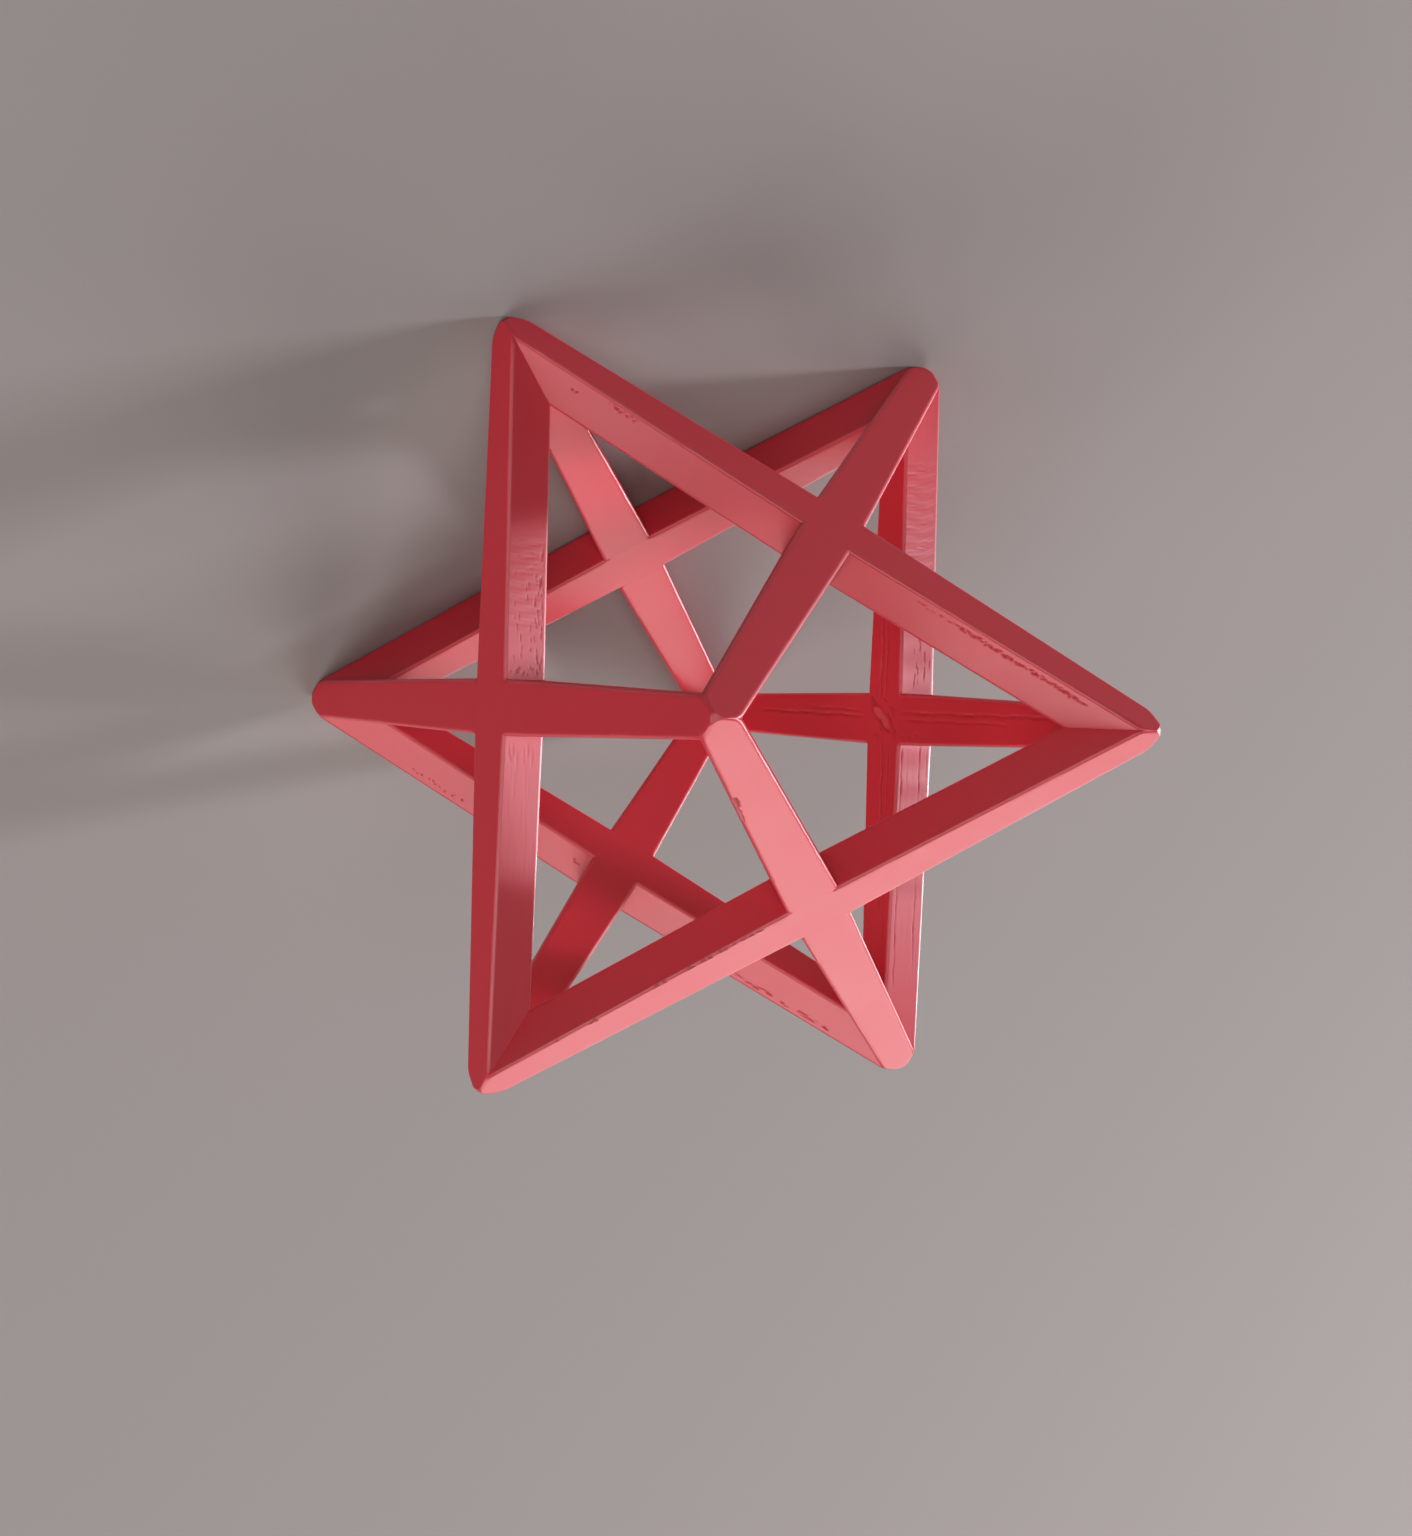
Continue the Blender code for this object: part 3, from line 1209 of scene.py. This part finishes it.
@dataclass
class Star:
    """The two interlocked tetrahedra."""

    wall: CoralPlastic = field(default_factory=lambda: CoralPlastic("coral_layered_wall"))
    cover: CoralPlastic = field(
        default_factory=lambda: CoralPlastic(
            "coral_cover_layer", roughness=(0.36, 0.44), sheen_across_layers=0.0, specular=0.38
        )
    )

    def build(self) -> None:
        """Models both forms, copies them to the six faces and dresses every bar."""
        effects = {"layer_lines": Effects.layer_lines(), "satin_grain": Effects.satin_grain()}
        wall, cover = self.wall.material(effects), self.cover.material(effects)
        for tetra in Tetra:
            form = BarForm(tetra).build()
            for face in Face:
                bar = Bar(tetra, face)
                piece = bar.build(form)
                bar.dress(piece, wall, cover)
                LOG.info("%s: %d faces", piece.name, len(piece.data.polygons))
            bpy.data.objects.remove(form, do_unlink=True)


@dataclass(frozen=True)
class Softbox:
    """A flat soft light that faces the star."""

    name: str
    centre: tuple[float, float, float]
    sides: Span
    radiance: float
    roll: float = 0.0
    tint: Colour = (1.0, 1.0, 1.0)

    def build(self, aim: Vector) -> None:
        """Hangs the light.

        Args:
            aim: The point that it faces.
        """
        lamp = bpy.data.lights.new(self.name, "AREA")
        lamp.shape = "RECTANGLE"
        lamp.size, lamp.size_y = self.sides
        lamp.energy = math.pi * self.sides[0] * self.sides[1] * self.radiance
        lamp.color = self.tint
        light = bpy.data.objects.new(self.name, lamp)
        bpy.context.scene.collection.objects.link(light)
        centre = Vector(self.centre)
        turn = (centre - aim).to_track_quat("Z", "Y").to_matrix().to_4x4()
        roll = Matrix.Rotation(math.radians(self.roll), 4, "Z")
        light.matrix_world = Matrix.Translation(centre) @ turn @ roll
        light.visible_camera = False


@dataclass
class Studio:
    """The floor, the lights and the camera."""

    floor_colour: Colour = (0.291, 0.257, 0.244)
    floor_roughness: float = 0.9
    floor_side: float = 6.0
    floor_drop: float = 0.0001
    world_colour: Colour = (1.0, 0.98, 0.96)
    world_strength: float = 0.02
    lights: tuple[Softbox, ...] = (
        Softbox("side_softbox", (-0.914, -0.283, 0.338), (0.16, 0.07), 200.0, 43.0, (0.98, 0.985, 1.08)),
        Softbox("edge_softbox", (-0.985, 0.100, 0.092), (0.20, 0.20), 30.0),
        Softbox("high_right_softbox", (0.578, 0.890, 1.092), (1.20, 0.80), 3.6),
        Softbox("low_right_softbox", (1.024, 1.024, 0.420), (0.80, 0.80), 0.8),
        Softbox("right_softbox", (1.420, -0.300, 0.420), (0.80, 0.80), 0.6),
        Softbox("back_softbox", (-0.918, 0.918, 0.782), (0.84, 1.60), 3.0),
        Softbox("front_softbox", (0.750, -0.750, 1.092), (0.80, 0.80), 3.2),
        Softbox("low_front_softbox", (0.0, -1.448, 0.420), (0.80, 0.80), 0.15),
    )
    aim: Vector = field(default_factory=lambda: Vector((0, 0, 0.0315)))
    camera_place: Vector = field(default_factory=lambda: Vector((0.19756, -0.19887, 0.2267)))
    camera_right: Vector = field(default_factory=lambda: Vector((-0.81709, -0.4321, 0.38164)))
    camera_up: Vector = field(default_factory=lambda: Vector((0.0137, -0.67636, -0.73644)))
    camera_lens: float = 66.46
    camera_sensor: float = 36.0

    def build(self) -> None:
        """Sets up the whole studio."""
        self._floor()
        self._world()
        for light in self.lights:
            light.build(self.aim)
        self._camera()

    def _floor(self) -> None:
        """Lays a plain matt floor under the star."""
        bpy.ops.object.select_all(action="DESELECT")
        bpy.ops.mesh.primitive_plane_add(size=self.floor_side, location=(0, 0, -self.floor_drop))
        floor = bpy.context.active_object
        floor.name = "floor"
        material = bpy.data.materials.new("matt_floor")
        material.use_nodes = True
        shader = material.node_tree.nodes["Principled BSDF"]
        shader.inputs["Base Color"].default_value = (*self.floor_colour, 1.0)
        shader.inputs["Roughness"].default_value = self.floor_roughness
        floor.data.materials.append(material)

    def _world(self) -> None:
        """Fills the room with even light."""
        world = bpy.data.worlds.new("studio_fill")
        world.use_nodes = True
        background = world.node_tree.nodes["Background"]
        background.inputs["Color"].default_value = (*self.world_colour, 1.0)
        background.inputs["Strength"].default_value = self.world_strength
        bpy.context.scene.world = world

    def _camera(self) -> None:
        """Sets the camera at the photograph's angle."""
        lens = bpy.data.cameras.new("photo_camera")
        lens.lens = self.camera_lens
        lens.sensor_width = self.camera_sensor
        camera = bpy.data.objects.new("photo_camera", lens)
        bpy.context.scene.collection.objects.link(camera)
        right, up = self.camera_right.normalized(), self.camera_up.normalized()
        turn = Matrix((right, up, right.cross(up))).transposed().to_4x4()
        camera.matrix_world = Matrix.Translation(self.camera_place) @ turn
        bpy.context.scene.camera = camera


def main() -> None:
    """Builds the star in its studio."""
    logging.basicConfig(level=logging.INFO, format="%(message)s")
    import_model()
    Star().build()
    Studio().build()
    bpy.context.scene.view_settings.view_transform = "Standard"
    bpy.context.view_layer.update()


if __name__ == "__main__":
    main()
